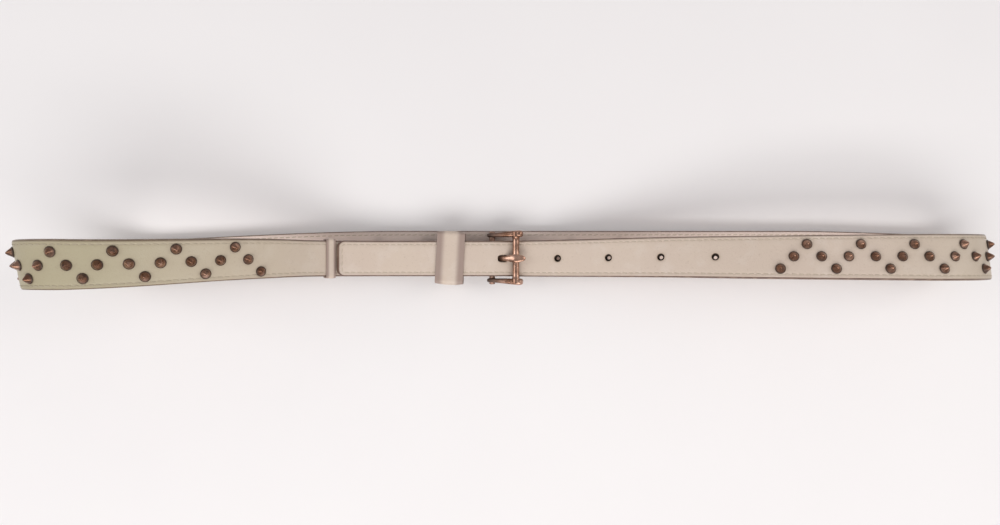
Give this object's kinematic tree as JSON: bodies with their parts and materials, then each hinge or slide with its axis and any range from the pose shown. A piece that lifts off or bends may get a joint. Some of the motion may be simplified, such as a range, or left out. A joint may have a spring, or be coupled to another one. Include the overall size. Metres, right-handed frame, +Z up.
{
  "type": "studded waist belt",
  "caption": "Narrow leather waist belt with cone studs in a zigzag, buckled with a pronged heel-bar buckle and lying as a flattened loop with raised ends.",
  "frame": {"origin": "bottom centre of the whole belt, on the surface that the lower run's stud tips stand on", "axes": "+X along the flattened loop from the higher bulb to the lower one, +Y across the strap, +Z up from the lower run to the buckle"},
  "size_m": [0.4604, 0.0278, 0.0801],
  "materials": {
    "cream_leather": "fine-grained cream beige leather, slightly glossy, with dark brown painted edges",
    "lining_leather": "matt pinkish beige split leather lining",
    "filler_board": "bonded fibre filler between the leathers",
    "copper_metal": "polished antique copper plating, darker in the recesses",
    "steel": "plain steel"
  },
  "bodies": {
    "strap": {"fold_rivet_1": "steel", "fold_rivet_2": "steel", "lower_run_studs": "copper_metal", "strap_collar": "cream_leather", "strap_face_leather": "cream_leather", "strap_filler": "filler_board", "strap_lining": "lining_leather", "stud_left_01": "copper_metal", "stud_left_02": "copper_metal", "stud_left_03": "copper_metal", "stud_left_04": "copper_metal", "stud_left_05": "copper_metal", "stud_left_06": "copper_metal", "stud_left_07": "copper_metal", "stud_left_08": "copper_metal", "stud_left_09": "copper_metal", "stud_left_10": "copper_metal", "stud_left_11": "copper_metal", "stud_left_12": "copper_metal", "stud_left_13": "copper_metal", "stud_left_14": "copper_metal", "stud_left_15": "copper_metal", "stud_left_16": "copper_metal", "stud_left_17": "copper_metal", "stud_left_18": "copper_metal", "stud_left_19": "copper_metal", "stud_left_20": "copper_metal", "stud_left_21": "copper_metal", "stud_left_22": "copper_metal", "stud_right_01": "copper_metal", "stud_right_02": "copper_metal", "stud_right_03": "copper_metal", "stud_right_04": "copper_metal", "stud_right_05": "copper_metal", "stud_right_06": "copper_metal", "stud_right_07": "copper_metal", "stud_right_08": "copper_metal", "stud_right_09": "copper_metal", "stud_right_10": "copper_metal", "stud_right_11": "copper_metal", "stud_right_12": "copper_metal", "stud_right_13": "copper_metal", "stud_right_14": "copper_metal", "stud_right_15": "copper_metal", "stud_right_16": "copper_metal", "stud_right_17": "copper_metal", "stud_right_18": "copper_metal", "stud_right_19": "copper_metal", "stud_right_20": "copper_metal", "stud_right_21": "copper_metal"},
    "buckle": {"buckle_frame": "copper_metal", "pivot_bar": "copper_metal"},
    "prong": {"prong": "copper_metal"},
    "keeper": {"keeper_loop": "cream_leather", "keeper_staple": "steel"}
  },
  "joints": [
    {"name": "buckle_swing", "type": "hinge", "parent": "strap", "child": "buckle", "pos_m": [-0.01616, 0.00021, 0.00955], "axis": [0, -1, 0], "range_deg": [0, 5]},
    {"name": "prong_swing", "type": "hinge", "parent": "buckle", "child": "prong", "pos_m": [-0.01616, 0.00021, 0.00955], "axis": [0, -1, 0], "range_deg": [0, 5]},
    {"name": "keeper_slide", "type": "slide", "parent": "strap", "child": "keeper", "axis": [1, 0, 0], "range_m": [-0.023, 0.006]}
  ]
}
